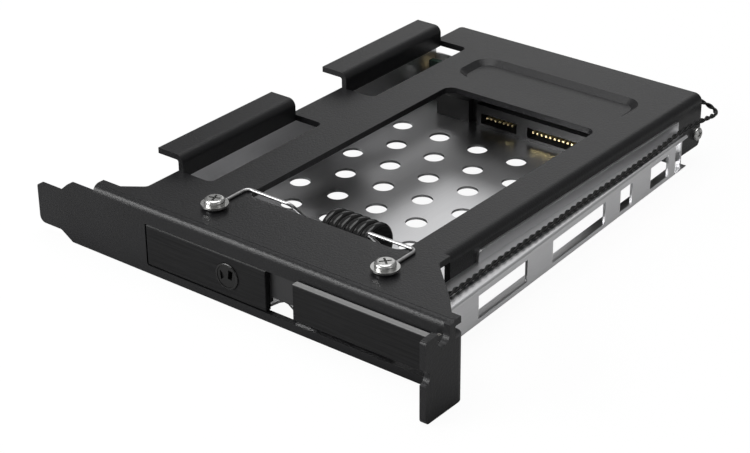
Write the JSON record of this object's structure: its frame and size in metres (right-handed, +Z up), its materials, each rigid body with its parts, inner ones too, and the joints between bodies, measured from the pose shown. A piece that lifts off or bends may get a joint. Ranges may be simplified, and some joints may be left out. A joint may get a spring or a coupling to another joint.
{
  "type": "hot swap drive caddy",
  "caption": "Expansion slot bracket caddy for a 2.5 inch drive, with a lockable front door, a perforated tray, a spring roller and a board with its connector.",
  "frame": {"origin": "on the front plane of the slot bracket's face, at its bottom edge, under the centre line of the top plate", "axes": "+X along the bracket towards the screw tab, +Y backwards into the computer, the way a drive goes in, +Z up from the tray to the top plate"},
  "size_m": [0.1201, 0.1427, 0.021],
  "materials": {
    "black_sheet": "satin black coated steel sheet",
    "silver_sheet": "bright zinc coated steel sheet",
    "black_plastic": "fine matte",
    "brushed_black": "black with a lengthwise brushed grain",
    "bright_steel": "bright nickel plated",
    "dark_steel": "dark nickel",
    "spring_wire": "bright spring wire",
    "black_rubber": "black rubber",
    "board_green": "dark green board",
    "brass_part": "plain brass",
    "connector_black": "moulded black plastic",
    "gold_contact": "gold plated",
    "header_white": "moulded natural white",
    "light_lens": "clear bluish lens",
    "lead_black": "black insulated twisted pair"
  },
  "bodies": {
    "bracket": {"slot_bracket": "black_sheet", "perforated_tray": "silver_sheet", "hinge_block": "black_sheet", "door_hinge_pin": "bright_steel", "left_spring": "spring_wire", "right_spring": "spring_wire", "top_screws": "bright_steel", "top_washers": "bright_steel", "side_screw": "bright_steel", "board_bracket": "black_sheet", "circuit_board": "board_green", "board_standoff": "brass_part", "board_screws": "bright_steel", "connector_housing": "connector_black", "data_contacts": "gold_contact", "power_contacts": "gold_contact", "rear_data_plug": "connector_black", "rear_power_plug": "connector_black", "rear_data_contacts": "gold_contact", "rear_power_contacts": "gold_contact", "board_header": "header_white", "light_holder": "black_plastic", "status_light": "light_lens", "light_lead": "lead_black"},
    "door": {"door_frame": "black_plastic", "left_face_plate": "brushed_black", "right_face_plate": "brushed_black", "lock_barrel": "bright_steel"},
    "lock": {"lock_rotor": "dark_steel", "lock_cam": "bright_steel", "cam_screw": "bright_steel"},
    "roller": {"ribbed_roller": "black_rubber"}
  },
  "joints": [
    {"name": "door_hinge", "type": "hinge", "parent": "bracket", "child": "door", "pos_m": [0.0506, -0.00115, 0.0088], "axis": [0, 0, 1], "range_deg": [0, 95]},
    {"name": "lock_turn", "type": "hinge", "parent": "door", "child": "lock", "pos_m": [-0.0066, 0, 0.0074], "axis": [0, 1, 0], "range_deg": [0, 90]},
    {"name": "roller_spin", "type": "hinge", "parent": "bracket", "child": "roller", "pos_m": [0.0074, 0.0263, 0.00955], "axis": [1, 0, 0], "continuous": true}
  ]
}
